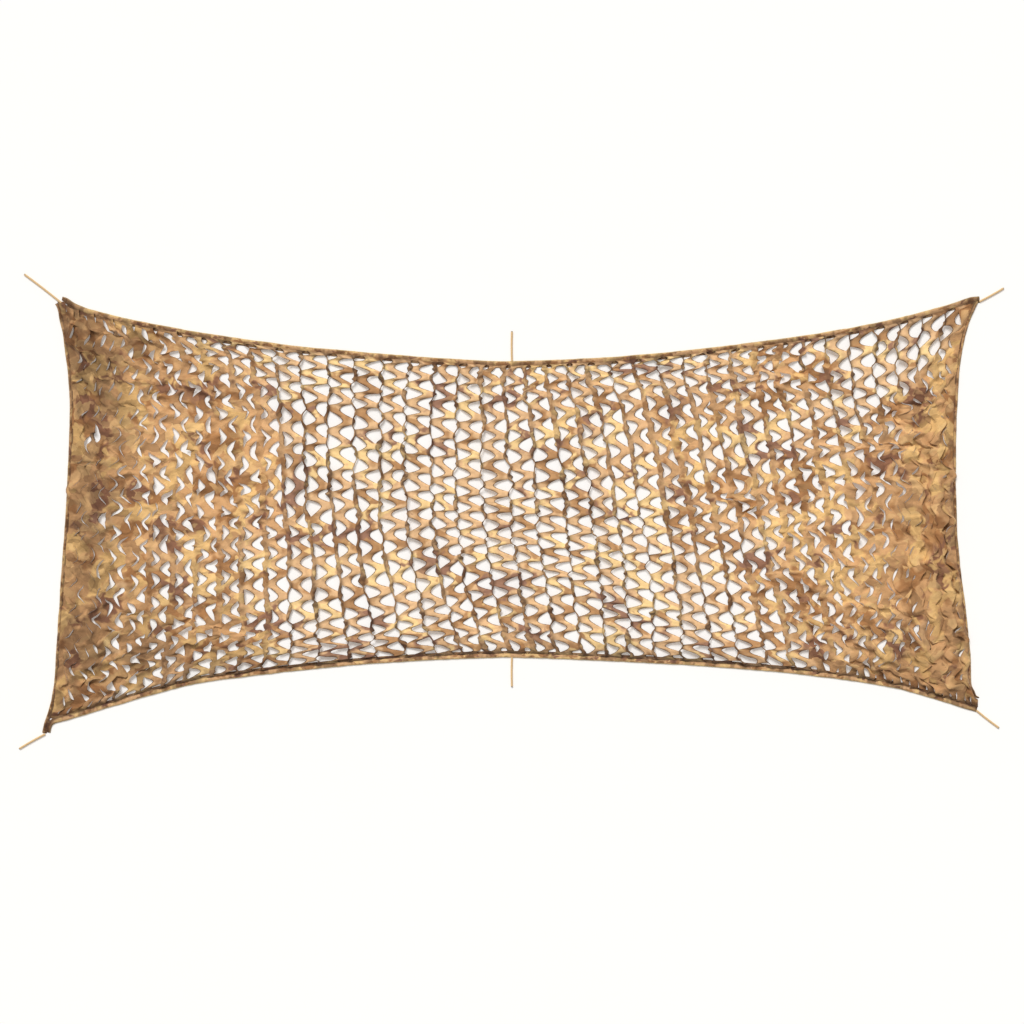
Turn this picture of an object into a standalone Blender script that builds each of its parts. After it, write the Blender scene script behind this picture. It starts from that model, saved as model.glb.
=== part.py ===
"""Camouflage netting, laid out flat on the surface it rests on.

One lanced cloth panel, four sewn edge bindings and six cord ties.
Metres, +Z up. +X runs along the long side, +Y along the short side, and z = 0 is the
surface that the net lies on. The origin is the middle of the outline, at that surface.
"""

import bmesh
import bpy
import numpy as np

MM = 0.001

# ---- driving sizes -------------------------------------------------------------------
CLOTH = 2.0 * MM           # thickness of the net panel
GAP = 0.3 * MM             # clearance between neighbouring pieces
LONG_BINDING = 19.0 * MM   # width of the binding along the two long edges
SIDE_BINDING = 12.0 * MM   # width of the binding along the two short edges
TIE = 7.0 * MM             # diameter of the tie cord
COLUMNS = 48               # panel grid, across
ROWS = 20                  # panel grid, up
END_STEP = 12.0 * MM       # spacing of a binding's sections past the panel's corners
EDGE_FLAT = 42.0 * MM      # the panel lies flat within this distance of its bindings
EDGE_RISE = 50.0 * MM      # and its folds reach their full height over this much more
TALLEST_FOLD = 20.0 * MM   # no fold stands higher than this

# Binding stations: (x, y) of the outer edge in mm, and the share of the full width there.
# Each list runs so that the net is on its left-hand side.
TOP_EDGE = (
    # x_mm, y_mm, width share
    (1546, 721.66, 0.95),
    (1515, 719, 1.00),
    (1465, 702, 1.00),
    (1416, 687, 1.00),
    (1284, 652, 1.00),
    (1119, 618, 1.00),
    (954, 591, 1.00),
    (789, 569, 1.00),
    (624, 549, 1.00),
    (459, 532, 1.00),
    (294, 519, 1.00),
    (162, 513, 1.00),
    (30, 508, 1.00),
    (-36, 508, 1.00),
    (-201, 516, 1.00),
    (-366, 528, 1.00),
    (-531, 542, 1.00),
    (-696, 557, 1.00),
    (-861, 578, 1.00),
    (-1026, 603, 1.00),
    (-1191, 634, 1.00),
    (-1290, 654, 1.00),
    (-1356, 671, 1.00),
    (-1409, 686, 1.00),
    (-1442, 700, 0.90),
    (-1465, 716, 0.75),
    (-1480, 721, 0.55),
)
BOTTOM_EDGE = (
    # x_mm, y_mm, width share
    (-1520, -719, 0.55),
    (-1518, -706, 0.62),
    (-1511, -692, 0.80),
    (-1488, -684, 1.00),
    (-1455, -675, 1.00),
    (-1422, -665, 1.00),
    (-1356, -645, 1.00),
    (-1290, -625, 1.00),
    (-1191, -595, 1.00),
    (-1026, -555, 1.00),
    (-861, -532, 1.00),
    (-696, -514, 1.00),
    (-531, -497, 1.00),
    (-366, -485, 1.00),
    (-201, -476, 1.00),
    (-36, -471, 1.00),
    (30, -471, 1.00),
    (162, -475, 1.00),
    (294, -481, 1.00),
    (459, -489, 1.00),
    (624, -499, 1.00),
    (789, -511, 1.00),
    (954, -526, 1.00),
    (1119, -547, 1.00),
    (1284, -576, 1.00),
    (1416, -614, 1.00),
    (1498, -640, 1.00),
    (1535, -651, 0.85),
)
LEFT_EDGE = (
    # x_mm, y_mm, width share
    (-1505, 696, 0.70),
    (-1500, 686, 0.90),
    (-1495, 672, 1.00),
    (-1489, 644, 1.00),
    (-1482, 610, 1.00),
    (-1473, 544, 1.00),
    (-1463, 462, 1.00),
    (-1458, 380, 1.00),
    (-1458, 280, 1.00),
    (-1462, 182, 1.00),
    (-1466, 82, 1.00),
    (-1472, -16, 1.00),
    (-1479, -116, 1.00),
    (-1486, -214, 1.00),
    (-1495, -346, 1.00),
    (-1504, -478, 1.00),
    (-1508, -544, 1.00),
    (-1518, -610, 1.00),
    (-1529, -650, 1.05),
    (-1541, -686, 1.10),
    (-1547.33, -718.96, 1.10),
)
RIGHT_EDGE = (
    # x_mm, y_mm, width share
    (1546, -601, 0.30),
    (1537, -596, 0.60),
    (1531, -583, 0.90),
    (1521, -563, 1.00),
    (1518, -538, 1.00),
    (1517, -478, 1.00),
    (1511, -412, 1.00),
    (1506, -346, 1.00),
    (1498, -280, 1.00),
    (1488, -208, 1.00),
    (1478, -116, 1.00),
    (1472, -16, 1.00),
    (1470, 82, 1.00),
    (1469, 182, 1.00),
    (1470, 280, 1.00),
    (1474, 380, 1.00),
    (1479, 452, 1.00),
    (1489, 538, 1.00),
    (1497, 578, 1.00),
    (1507, 617, 1.00),
    (1520, 653, 1.00),
    (1538, 692, 0.90),
)

# Where the panel's own corners lie, in mm, tucked between two bindings.
PANEL_CORNERS = {
    "top_left": (-1486, 693),
    "top_right": (1519, 686),
    "bottom_left": (-1508, -670),
    "bottom_right": (1527, -625),
}

# Section of a binding, in shares of its width across and in mm up. It is a doubled tape:
# a thin stitched flange beside the net, and a round rolled lip outside.
BINDING_SECTION = (
    # across, up_mm
    (-0.50, 0.0),
    (0.34, 0.0),
    (0.47, 1.4),
    (0.50, 3.4),
    (0.40, 5.4),
    (0.22, 6.2),
    (0.05, 4.8),
    (-0.06, 2.9),
    (-0.50, 2.2),
)

# Folds that stand up from the panel: from one point to another, in mm.
FOLDS = (
    # x0, y0, x1, y1, half width, height
    (-1440, 660, -1330, 430, 75, 18),
    (-1330, 430, -1310, 150, 70, 11),
    (-1372, 0, -1365, -400, 65, 13),
    (-1420, -40, -1320, -45, 60, 7),
    (-1440, -560, -1330, -590, 60, 12),
    (-1230, 560, -1160, 330, 70, 9),
    (-1170, 100, -1120, -480, 75, 8),
    (-1010, 480, -890, -420, 80, 9),
    (-760, 440, -640, -400, 80, 8),
    (-470, 430, -420, 60, 70, 7),
    (-330, -20, -260, -400, 75, 9),
    (-120, 420, 20, -380, 80, 8),
    (230, 410, 360, -400, 80, 9),
    (500, 420, 600, -420, 75, 8),
    (740, 460, 830, -60, 75, 9),
    (900, -80, 960, -430, 75, 9),
    (1060, 540, 1130, 120, 70, 12),
    (1180, 60, 1150, -420, 70, 14),
    (1280, 500, 1320, 40, 65, 17),
    (1330, -40, 1290, -400, 65, 16),
    (1410, 200, 1400, -180, 60, 11),
    (1450, 610, 1380, 520, 60, 10),
    (1470, -560, 1360, -420, 65, 17),
    (-900, -450, -500, -420, 65, 7),
    (620, -440, 1100, -500, 65, 9),
)

# The twelve largest gaps of the net. Each is a fin with one blunt side and one point.
GAPS = (
    # name, x_mm, y_mm, width_mm, height_mm, +1 points to +X and -1 to -X
    ("gap_01", -747, 392, 45, 42, 1),
    ("gap_02", -582, 433, 52, 40, 1),
    ("gap_03", -663, 188, 43, 46, 1),
    ("gap_04", -493, 170, 43, 46, 1),
    ("gap_05", -415, -213, 46, 44, -1),
    ("gap_06", -156, 26, 54, 38, 1),
    ("gap_07", 20, 135, 44, 43, 1),
    ("gap_08", -117, -266, 46, 36, 1),
    ("gap_09", 317, 278, 50, 42, 1),
    ("gap_10", 404, -391, 49, 41, 1),
    ("gap_11", 785, -102, 43, 36, 1),
    ("gap_12", 944, 267, 43, 40, 1),
)

# Ties: each leaves its binding at the first point and ends, cut off, at the second, in mm.
TIES = (
    # name, x0, y0, x1, y1
    ("tie_top_left", -1488.0, 703.0, -1607.0, 795.0),
    ("tie_bottom_left", -1541.0, -725.0, -1624.0, -772.0),
    ("tie_top_right", 1550.5, 706.5, 1627.0, 749.0),
    ("tie_bottom_right", 1538.5, -647.0, 1611.0, -703.0),
    ("tie_top_middle", 3.0, 508.7, 3.0, 607.0),
    ("tie_bottom_middle", 3.0, -471.9, 3.0, -568.0),
)

# Each edge: its stations, its binding's width, the panel corners it runs between, and how many steps the panel has there.
EDGES = {
    "top": (TOP_EDGE, LONG_BINDING, "top_right", "top_left", COLUMNS),
    "bottom": (BOTTOM_EDGE, LONG_BINDING, "bottom_left", "bottom_right", COLUMNS),
    "left": (LEFT_EDGE, SIDE_BINDING, "top_left", "bottom_left", ROWS),
    "right": (RIGHT_EDGE, SIDE_BINDING, "bottom_right", "top_right", ROWS),
}

COLOURS = {
    # material: colour, roughness
    "net_cloth": ((0.42, 0.26, 0.12), 0.85),
    "binding_cloth": ((0.40, 0.28, 0.14), 0.80),
    "tie_cord": ((0.56, 0.43, 0.26), 0.75),
}


# ---- helpers -------------------------------------------------------------------------
def clear_scene():
    for obj in list(bpy.data.objects):
        bpy.data.objects.remove(obj, do_unlink=True)


def new_collection(name, helper=False):
    made = bpy.data.collections.new(name)
    bpy.context.scene.collection.children.link(made)
    made.hide_render = helper
    return made


def new_material(name):
    colour, roughness = COLOURS[name]
    made = bpy.data.materials.new(name)
    made.use_nodes = True
    shader = made.node_tree.nodes["Principled BSDF"]
    shader.inputs["Base Color"].default_value = (*colour, 1.0)
    shader.inputs["Roughness"].default_value = roughness
    shader.inputs["Metallic"].default_value = 0.0
    made.diffuse_color = (*colour, 1.0)
    return made


def smooth_curve(stations):
    """Dense points on the smooth curve through the stations (centripetal Catmull-Rom), and the run to each."""
    pts = np.array([(x * MM, y * MM, share) for x, y, share in stations])
    ends = np.vstack([2 * pts[0] - pts[1], pts, 2 * pts[-1] - pts[-2]])
    dense = []
    for i in range(1, len(ends) - 2):
        p0, p1, p2, p3 = ends[i - 1 : i + 3]
        t0 = 0.0
        t1 = t0 + np.sqrt(np.linalg.norm((p1 - p0)[:2]))
        t2 = t1 + np.sqrt(np.linalg.norm((p2 - p1)[:2]))
        t3 = t2 + np.sqrt(np.linalg.norm((p3 - p2)[:2]))
        for t in np.linspace(t1, t2, 24, endpoint=False):
            a1 = (t1 - t) / (t1 - t0) * p0 + (t - t0) / (t1 - t0) * p1
            a2 = (t2 - t) / (t2 - t1) * p1 + (t - t1) / (t2 - t1) * p2
            a3 = (t3 - t) / (t3 - t2) * p2 + (t - t2) / (t3 - t2) * p3
            b1 = (t2 - t) / (t2 - t0) * a1 + (t - t0) / (t2 - t0) * a2
            b2 = (t3 - t) / (t3 - t1) * a2 + (t - t1) / (t3 - t1) * a3
            dense.append((t2 - t) / (t2 - t1) * b1 + (t - t1) / (t2 - t1) * b2)
    dense.append(pts[-1])
    dense = np.array(dense)
    run = np.concatenate([[0], np.cumsum(np.linalg.norm(np.diff(dense[:, :2], axis=0), axis=1))])
    return dense, run


def leftward(points):
    """Unit normals to the left of a line of points."""
    along = np.gradient(points[:, :2], axis=0)
    along /= np.linalg.norm(along, axis=1, keepdims=True)
    return np.stack([-along[:, 1], along[:, 0]], axis=1)


def spread(count):
    """Shares of a side, from 0 to 1, closer together towards the corners."""
    t = np.linspace(0, 1, count + 1)
    return t - 0.45 * np.sin(2 * np.pi * t) / (2 * np.pi)


def binding_line(edge):
    """A binding's middle line, its width share there, the line where the panel may start, and which points face the panel."""
    stations, width, first, last, count = edge
    dense, run = smooth_curve(stations)
    side = leftward(dense)
    corners = np.array([PANEL_CORNERS[first], PANEL_CORNERS[last]]) * MM
    a, b = (run[np.argmin(np.linalg.norm(dense[:, :2] - corner, axis=1))] for corner in corners)
    head = np.linspace(0, a, max(2, int(np.ceil(a / END_STEP)) + 1))[:-1]
    tail = np.linspace(b, run[-1], max(2, int(np.ceil((run[-1] - b) / END_STEP)) + 1))[1:]
    facing = a + (b - a) * spread(count)
    at = np.concatenate([head, facing, tail])
    point = np.stack([np.interp(at, run, dense[:, k]) for k in range(3)], axis=1)
    inward = np.stack([np.interp(at, run, side[:, k]) for k in range(2)], axis=1)
    share = point[:, 2:3]
    middle = point[:, :2] + inward * share * width / 2
    inner = point[:, :2] + inward * (share * width + GAP)
    return middle, share[:, 0], inner[len(head) : len(head) + count + 1]


# ---- pieces --------------------------------------------------------------------------
def make_binding(name, edge, parts, guides, material):
    width = edge[1]
    section = bpy.data.curves.new(name + "_section", "CURVE")
    section.dimensions = "2D"
    ring = section.splines.new("POLY")
    ring.points.add(len(BINDING_SECTION) - 1)
    for point, (across, up) in zip(ring.points, BINDING_SECTION[::-1]):
        # The lip is on the outside, to the right of the way the edge runs.
        point.co = (across * width, up * MM, 0, 1)
    ring.use_cyclic_u = True
    guide = bpy.data.objects.new(name + "_section", section)
    guide.hide_render = True
    guide.display_type = "WIRE"
    guides.objects.link(guide)

    middle, share, _ = binding_line(edge)
    data = bpy.data.curves.new(name, "CURVE")
    data.dimensions = "3D"
    data.twist_mode = "Z_UP"
    data.bevel_mode = "OBJECT"
    data.bevel_object = guide
    data.use_fill_caps = True
    line = data.splines.new("POLY")
    line.points.add(len(middle) - 1)
    for point, (x, y), s in zip(line.points, middle, share):
        point.co = (x, y, 0, 1)
        point.radius = s
    data.materials.append(material)
    obj = bpy.data.objects.new(name, data)
    parts.objects.link(obj)
    return obj


def make_tie(name, start, end, parts, material):
    a, b = np.array(start) * MM, np.array(end) * MM
    length = np.linalg.norm(b - a)
    count = int(length / (2.5 * TIE)) + 2
    data = bpy.data.curves.new(name, "CURVE")
    data.dimensions = "3D"
    data.bevel_depth = TIE / 2
    data.bevel_resolution = 2
    data.use_fill_caps = True
    line = data.splines.new("POLY")
    line.points.add(count - 1)
    for point, t in zip(line.points, np.linspace(0, 1, count)):
        x, y = a + (b - a) * t
        point.co = (x, y, TIE / 2, 1)
    data.materials.append(material)
    obj = bpy.data.objects.new(name, data)
    parts.objects.link(obj)
    return obj


def fold_height(x, y):
    """Height of the panel's underside over the surface, before it fades out at the bindings."""
    total = np.zeros_like(x)
    for x0, y0, x1, y1, half, height in FOLDS:
        p0, p1 = np.array((x0, y0)) * MM, np.array((x1, y1)) * MM
        d = p1 - p0
        t = np.clip(((x - p0[0]) * d[0] + (y - p0[1]) * d[1]) / (d @ d), 0, 1)
        off = np.hypot(x - p0[0] - t * d[0], y - p0[1] - t * d[1]) / (half * MM)
        ease = 0.55 + 0.45 * np.sin(np.pi * t)
        bump = np.where(off < 1, 0.5 + 0.5 * np.cos(np.pi * np.minimum(off, 1)), 0) * ease
        total = np.maximum(total, bump * height * MM)
    return np.minimum(total, TALLEST_FOLD - CLOTH)


def panel_points():
    """Grid of points (COLUMNS + 1) by (ROWS + 1) spanning the four inner edges."""
    top, bottom, left, right = (binding_line(EDGES[name])[2] for name in ("top", "bottom", "left", "right"))
    top, left = top[::-1], left[::-1]
    for line, names in ((top, "top_left top_right"), (bottom, "bottom_left bottom_right"), (left, "bottom_left top_left"), (right, "bottom_right top_right")):
        line[0], line[-1] = (np.array(PANEL_CORNERS[name]) * MM for name in names.split())
    u = spread(COLUMNS)[:, None, None]
    v = spread(ROWS)[None, :, None]
    grid = (1 - v) * bottom[:, None] + v * top[:, None] + (1 - u) * left[None] + u * right[None]
    grid -= (1 - u) * (1 - v) * bottom[0] + u * (1 - v) * bottom[-1] + (1 - u) * v * top[0] + u * v * top[-1]
    return grid


def make_panel(parts, cutters, material):
    grid = panel_points()
    x, y = grid[..., 0], grid[..., 1]
    rim = np.concatenate([grid[0], grid[-1], grid[:, 0], grid[:, -1]])
    near = np.min(np.hypot(x[..., None] - rim[:, 0], y[..., None] - rim[:, 1]), axis=-1)
    fade = np.clip((near - EDGE_FLAT) / EDGE_RISE, 0, 1)
    fade = fade * fade * (3 - 2 * fade)
    z = fold_height(x, y) * fade
    z[z < 0.4 * MM] = 0.0

    mesh = bpy.data.meshes.new("net_panel")
    bm = bmesh.new()
    bmesh.ops.create_grid(bm, x_segments=COLUMNS, y_segments=ROWS, size=1)
    for vert in bm.verts:
        i = int(round((vert.co.x + 1) / 2 * COLUMNS))
        j = int(round((vert.co.y + 1) / 2 * ROWS))
        vert.co = (x[i, j], y[i, j], z[i, j])
    for face in bm.faces:
        face.smooth = True
    bm.to_mesh(mesh)
    bm.free()
    mesh.materials.append(material)
    panel = bpy.data.objects.new("net_panel", mesh)
    parts.objects.link(panel)

    cloth = panel.modifiers.new("cloth", "SOLIDIFY")
    cloth.thickness = CLOTH
    cloth.offset = 1
    cloth.use_even_offset = True

    holes = bmesh.new()
    for _, cx, cy, w, h, way in GAPS:
        fin = ((-0.50, 0.40), (-0.50, -0.40), (-0.10, -0.50), (0.50, 0.0), (-0.10, 0.50))
        ring = [(cx + way * fx * w, cy + fy * h) for fx, fy in fin]
        if way < 0:
            ring = ring[::-1]
        low = [holes.verts.new((px * MM, py * MM, -10 * MM)) for px, py in ring]
        base = holes.faces.new(low[::-1])
        made = bmesh.ops.extrude_face_region(holes, geom=[base])
        bmesh.ops.translate(holes, verts=[v for v in made["geom"] if isinstance(v, bmesh.types.BMVert)], vec=(0, 0, 50 * MM))
    bmesh.ops.recalc_face_normals(holes, faces=holes.faces)
    cut_mesh = bpy.data.meshes.new("gap_cutters")
    holes.to_mesh(cut_mesh)
    holes.free()
    cutter = bpy.data.objects.new("gap_cutters", cut_mesh)
    cutter.hide_render = True
    cutter.display_type = "WIRE"
    cutters.objects.link(cutter)

    cut = panel.modifiers.new("gaps", "BOOLEAN")
    cut.operation = "DIFFERENCE"
    cut.solver = "EXACT"
    cut.object = cutter
    return panel


# ---- assembly ------------------------------------------------------------------------
def main():
    clear_scene()
    bpy.context.scene.unit_settings.system = "METRIC"
    parts = new_collection("camouflage_netting")
    helpers = new_collection("cutters_and_sections", helper=True)
    net, binding, cord = (new_material(name) for name in COLOURS)

    make_panel(parts, helpers, net)
    for name, edge in EDGES.items():
        make_binding("binding_" + name, edge, parts, helpers, binding)
    for name, x0, y0, x1, y1 in TIES:
        make_tie(name, (x0, y0), (x1, y1), parts, cord)


main()
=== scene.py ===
"""Looks of the camouflage netting: the slit cloth drawn open, its bindings and its tie cords.

Row frame, metres inside Blender and millimetres in the tables: +X along the long side,
+Y along the short side, z = 0 is the surface that the net lies on.
"""

import math

import bpy
import numpy as np
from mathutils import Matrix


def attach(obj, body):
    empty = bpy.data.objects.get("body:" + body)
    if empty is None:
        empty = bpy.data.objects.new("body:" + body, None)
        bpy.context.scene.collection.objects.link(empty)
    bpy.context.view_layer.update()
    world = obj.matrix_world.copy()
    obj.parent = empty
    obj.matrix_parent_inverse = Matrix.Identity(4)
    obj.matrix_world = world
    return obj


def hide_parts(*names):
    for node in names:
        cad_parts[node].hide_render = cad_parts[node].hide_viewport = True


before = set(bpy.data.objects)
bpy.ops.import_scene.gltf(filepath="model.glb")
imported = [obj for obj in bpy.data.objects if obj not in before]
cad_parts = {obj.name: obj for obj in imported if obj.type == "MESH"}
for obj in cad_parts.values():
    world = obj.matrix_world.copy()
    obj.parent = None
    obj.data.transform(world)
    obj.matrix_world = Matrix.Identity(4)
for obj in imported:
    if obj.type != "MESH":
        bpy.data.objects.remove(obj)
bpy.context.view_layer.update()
MM = 0.001
F = np.float32

# ======================================================================================
# Camera: straight above, at the distance where the picture is 3.379 m wide
# ======================================================================================
camera_data = bpy.data.cameras.new("camera")
camera_data.type = "PERSP"
camera_data.lens = 100.0
camera_data.sensor_width = 36.0
camera_data.clip_start = 0.1
camera_data.clip_end = 60.0
camera = bpy.data.objects.new("camera", camera_data)
camera.location = (0.0033, 0.0099, 9.392)
camera.rotation_euler = (0.0, 0.0, 0.0)
bpy.context.scene.collection.objects.link(camera)
bpy.context.scene.camera = camera

# ======================================================================================
# Tables
# ======================================================================================
# Outer edges of the four bindings: x, y in mm and the share of the full width there.
TOP_EDGE = (
    (1546, 721.66, 0.95), (1515, 719, 1.00), (1465, 702, 1.00), (1416, 687, 1.00), (1284, 652, 1.00), (1119, 618, 1.00), (954, 591, 1.00),
    (789, 569, 1.00), (624, 549, 1.00), (459, 532, 1.00), (294, 519, 1.00), (162, 513, 1.00), (30, 508, 1.00), (-36, 508, 1.00),
    (-201, 516, 1.00), (-366, 528, 1.00), (-531, 542, 1.00), (-696, 557, 1.00), (-861, 578, 1.00), (-1026, 603, 1.00), (-1191, 634, 1.00),
    (-1290, 654, 1.00), (-1356, 671, 1.00), (-1409, 686, 1.00), (-1442, 700, 0.90), (-1465, 716, 0.75), (-1480, 721, 0.55),
)
BOTTOM_EDGE = (
    (-1520, -719, 0.55), (-1518, -706, 0.62), (-1511, -692, 0.80), (-1488, -684, 1.00), (-1455, -675, 1.00), (-1422, -665, 1.00),
    (-1356, -645, 1.00), (-1290, -625, 1.00), (-1191, -595, 1.00), (-1026, -555, 1.00), (-861, -532, 1.00), (-696, -514, 1.00),
    (-531, -497, 1.00), (-366, -485, 1.00), (-201, -476, 1.00), (-36, -471, 1.00), (30, -471, 1.00), (162, -475, 1.00), (294, -481, 1.00),
    (459, -489, 1.00), (624, -499, 1.00), (789, -511, 1.00), (954, -526, 1.00), (1119, -547, 1.00), (1284, -576, 1.00), (1416, -614, 1.00),
    (1498, -640, 1.00), (1535, -651, 0.85),
)
LEFT_EDGE = (
    (-1505, 696, 0.70), (-1500, 686, 0.90), (-1495, 672, 1.00), (-1489, 644, 1.00), (-1482, 610, 1.00), (-1473, 544, 1.00), (-1463, 462, 1.00),
    (-1458, 380, 1.00), (-1458, 280, 1.00), (-1462, 182, 1.00), (-1466, 82, 1.00), (-1472, -16, 1.00), (-1479, -116, 1.00), (-1486, -214, 1.00),
    (-1495, -346, 1.00), (-1504, -478, 1.00), (-1508, -544, 1.00), (-1518, -610, 1.00), (-1529, -650, 1.05), (-1541, -686, 1.10), (-1547.33, -718.96, 1.10),
)
RIGHT_EDGE = (
    (1546, -601, 0.30), (1537, -596, 0.60), (1531, -583, 0.90), (1521, -563, 1.00), (1518, -538, 1.00), (1517, -478, 1.00), (1511, -412, 1.00),
    (1506, -346, 1.00), (1498, -280, 1.00), (1488, -208, 1.00), (1478, -116, 1.00), (1472, -16, 1.00), (1470, 82, 1.00), (1469, 182, 1.00),
    (1470, 280, 1.00), (1474, 380, 1.00), (1479, 452, 1.00), (1489, 538, 1.00), (1497, 578, 1.00), (1507, 617, 1.00), (1520, 653, 1.00), (1537, 690, 0.95), (1544, 704, 0.85),
)
LONG_BINDING, SIDE_BINDING = 19.0, 12.0

# Tie cords: where each leaves its binding and where it ends, in mm.
TIE = 7.0
TIES = (
    ("tie_top_left", -1488.0, 703.0, -1607.0, 795.0),
    ("tie_bottom_left", -1541.0, -725.0, -1624.0, -772.0),
    ("tie_top_right", 1550.5, 706.5, 1627.0, 749.0),
    ("tie_bottom_right", 1538.5, -647.0, 1611.0, -703.0),
    ("tie_top_middle", 3.0, 508.7, 3.0, 607.0),
    ("tie_bottom_middle", 3.0, -471.9, 3.0, -568.0),
)

# The cut cloth. Zigzag cut lines run down it, and each is interrupted at every second wave.
RIBBONS = 79          # strips between neighbouring lines
ROWS = 33             # half waves from top to bottom
ROW_TOP = -15         # number of the top row
FIRST_LINE = -38      # number of the leftmost line
STEP = 8              # mesh rows to a half wave
ACROSS = 4            # mesh columns to a strip
STRIP = 30.7          # width of a strip along the cloth, in mm
WAVE = 16.5           # how far the zigzag swings either way
HALF_WAVE = 41.6      # height of a half wave
CEILING = 25.0        # the cloth stands no higher than this

# Where the cut lines reach the top and the bottom hem, in mm.
LINES_AT_HEM = (
    # line, x at the top, x at the bottom
    (-38, -1487, -1511), (-34, -1389, -1389), (-30, -1270, -1251), (-26, -1125, -1089), (-22, -970, -924),
    (-18, -805, -749), (-14, -627, -554), (-10, -442, -360), (-6, -267, -178), (-2, -112, -20), (2, 25, 129),
    (6, 157, 287), (10, 300, 452), (14, 459, 643), (18, 624, 832), (22, 782, 993), (26, 937, 1129), (30, 1096, 1244),
    (34, 1257, 1353), (38, 1416, 1452), (41, 1526, 1525),
)
FOLDS = (
    (-1440, 660, -1330, 430, 75, 18), (-1330, 430, -1310, 150, 70, 11), (-1372, 0, -1365, -400, 65, 13), (-1420, -40, -1320, -45, 60, 7),
    (-1440, -560, -1330, -590, 60, 12), (-1230, 560, -1160, 330, 70, 9), (-1170, 100, -1120, -480, 75, 8), (-1010, 480, -890, -420, 80, 9),
    (-760, 440, -640, -400, 80, 8), (-470, 430, -420, 60, 70, 7), (-330, -20, -260, -400, 75, 9), (-120, 420, 20, -380, 80, 8),
    (230, 410, 360, -400, 80, 9), (500, 420, 600, -420, 75, 8), (740, 460, 830, -60, 75, 9), (900, -80, 960, -430, 75, 9),
    (1060, 540, 1130, 120, 70, 12), (1180, 60, 1150, -420, 70, 14), (1280, 500, 1320, 40, 65, 17), (1330, -40, 1290, -400, 65, 16),
    (1410, 200, 1400, -180, 60, 11), (1450, 610, 1380, 520, 60, 10), (1470, -560, 1360, -420, 65, 17), (-900, -450, -500, -420, 65, 7), (620, -440, 1100, -500, 65, 9),
)
# Places where the slits stand wider open than the spread of the lines gives, or less: x, y, half width, half height, by how much.
SPOTS = (
    (1255, 560, 210, 130, 0.9), (1180, 430, 160, 130, 0.55), (1395, 610, 110, 75, 0.9), (-1430, -600, 75, 60, 0.5), (1290, -430, 120, 70, 0.35), (-1060, 0, 230, 330, -0.18),
    (723, 214, 110, 80, 0.4), (-663, 82, 100, 70, 0.35), (-870, -110, 100, 110, 0.22), (-1000, -390, 190, 90, -0.5), (-1257, -313, 90, 70, -0.2), (1000, 480, 170, 60, -0.85), (130, 480, 300, 38, 0.5), (-663, 100, 90, 60, 0.2), (-330, 110, 70, 60, 0.3), (560, 230, 60, 60, -0.2), (990, 150, 70, 260, -0.25), (-1000, 150, 90, 90, -0.1),
    (624, 478, 120, 50, 0.25), (1119, -445, 120, 60, 0.35), (1340, -390, 130, 130, 0.65), (1450, -480, 60, 90, 0.6), (-1330, 60, 90, 160, 0.3), (-860, -440, 160, 60, -0.25),
    (-663, 188, 60, 60, 0.4), (317, 278, 60, 60, 0.45), (785, -102, 60, 60, 0.6), (-747, 392, 50, 50, 0.3), (-582, 433, 50, 50, 0.2), (404, -391, 60, 50, 0.3), (944, 267, 50, 50, 0.25),
    (-1310, 450, 160, 200, -0.3), (1150, 30, 110, 260, -0.15), (-700, 330, 120, 90, 0.2), (30, 400, 330, 60, 0.35), (130, -60, 300, 240, 0.1), (-1250, -520, 190, 70, -0.25),
)

# Small shifts of the net, so that its large gaps lie where the stated ones are: x, y, half size, by how much along and up.
NUDGES = ((-115, -267, 60, -10, 6), (-663, 188, 60, -9, 17), (-582, 433, 50, 3, 0), (20, 135, 50, 3, -4), (-490, 172, 50, 2, -4))


def zigzag(r):
    """-1 at even rows, where the waves point left, and +1 at odd rows, where they point right."""
    return np.arcsin(0.96 * np.sin(np.pi * (r - 0.5))) / np.arcsin(0.96)


def inset(line, by):
    p = np.array(line, float)[:, :2]
    d = np.gradient(p, axis=0)
    d /= np.linalg.norm(d, axis=1, keepdims=True)
    return p + by * np.stack([-d[:, 1], d[:, 0]], axis=1)


def smoothstep(x, a, b):
    t = np.clip((x - a) / (b - a), 0, 1)
    return t * t * (3 - 2 * t)


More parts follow.
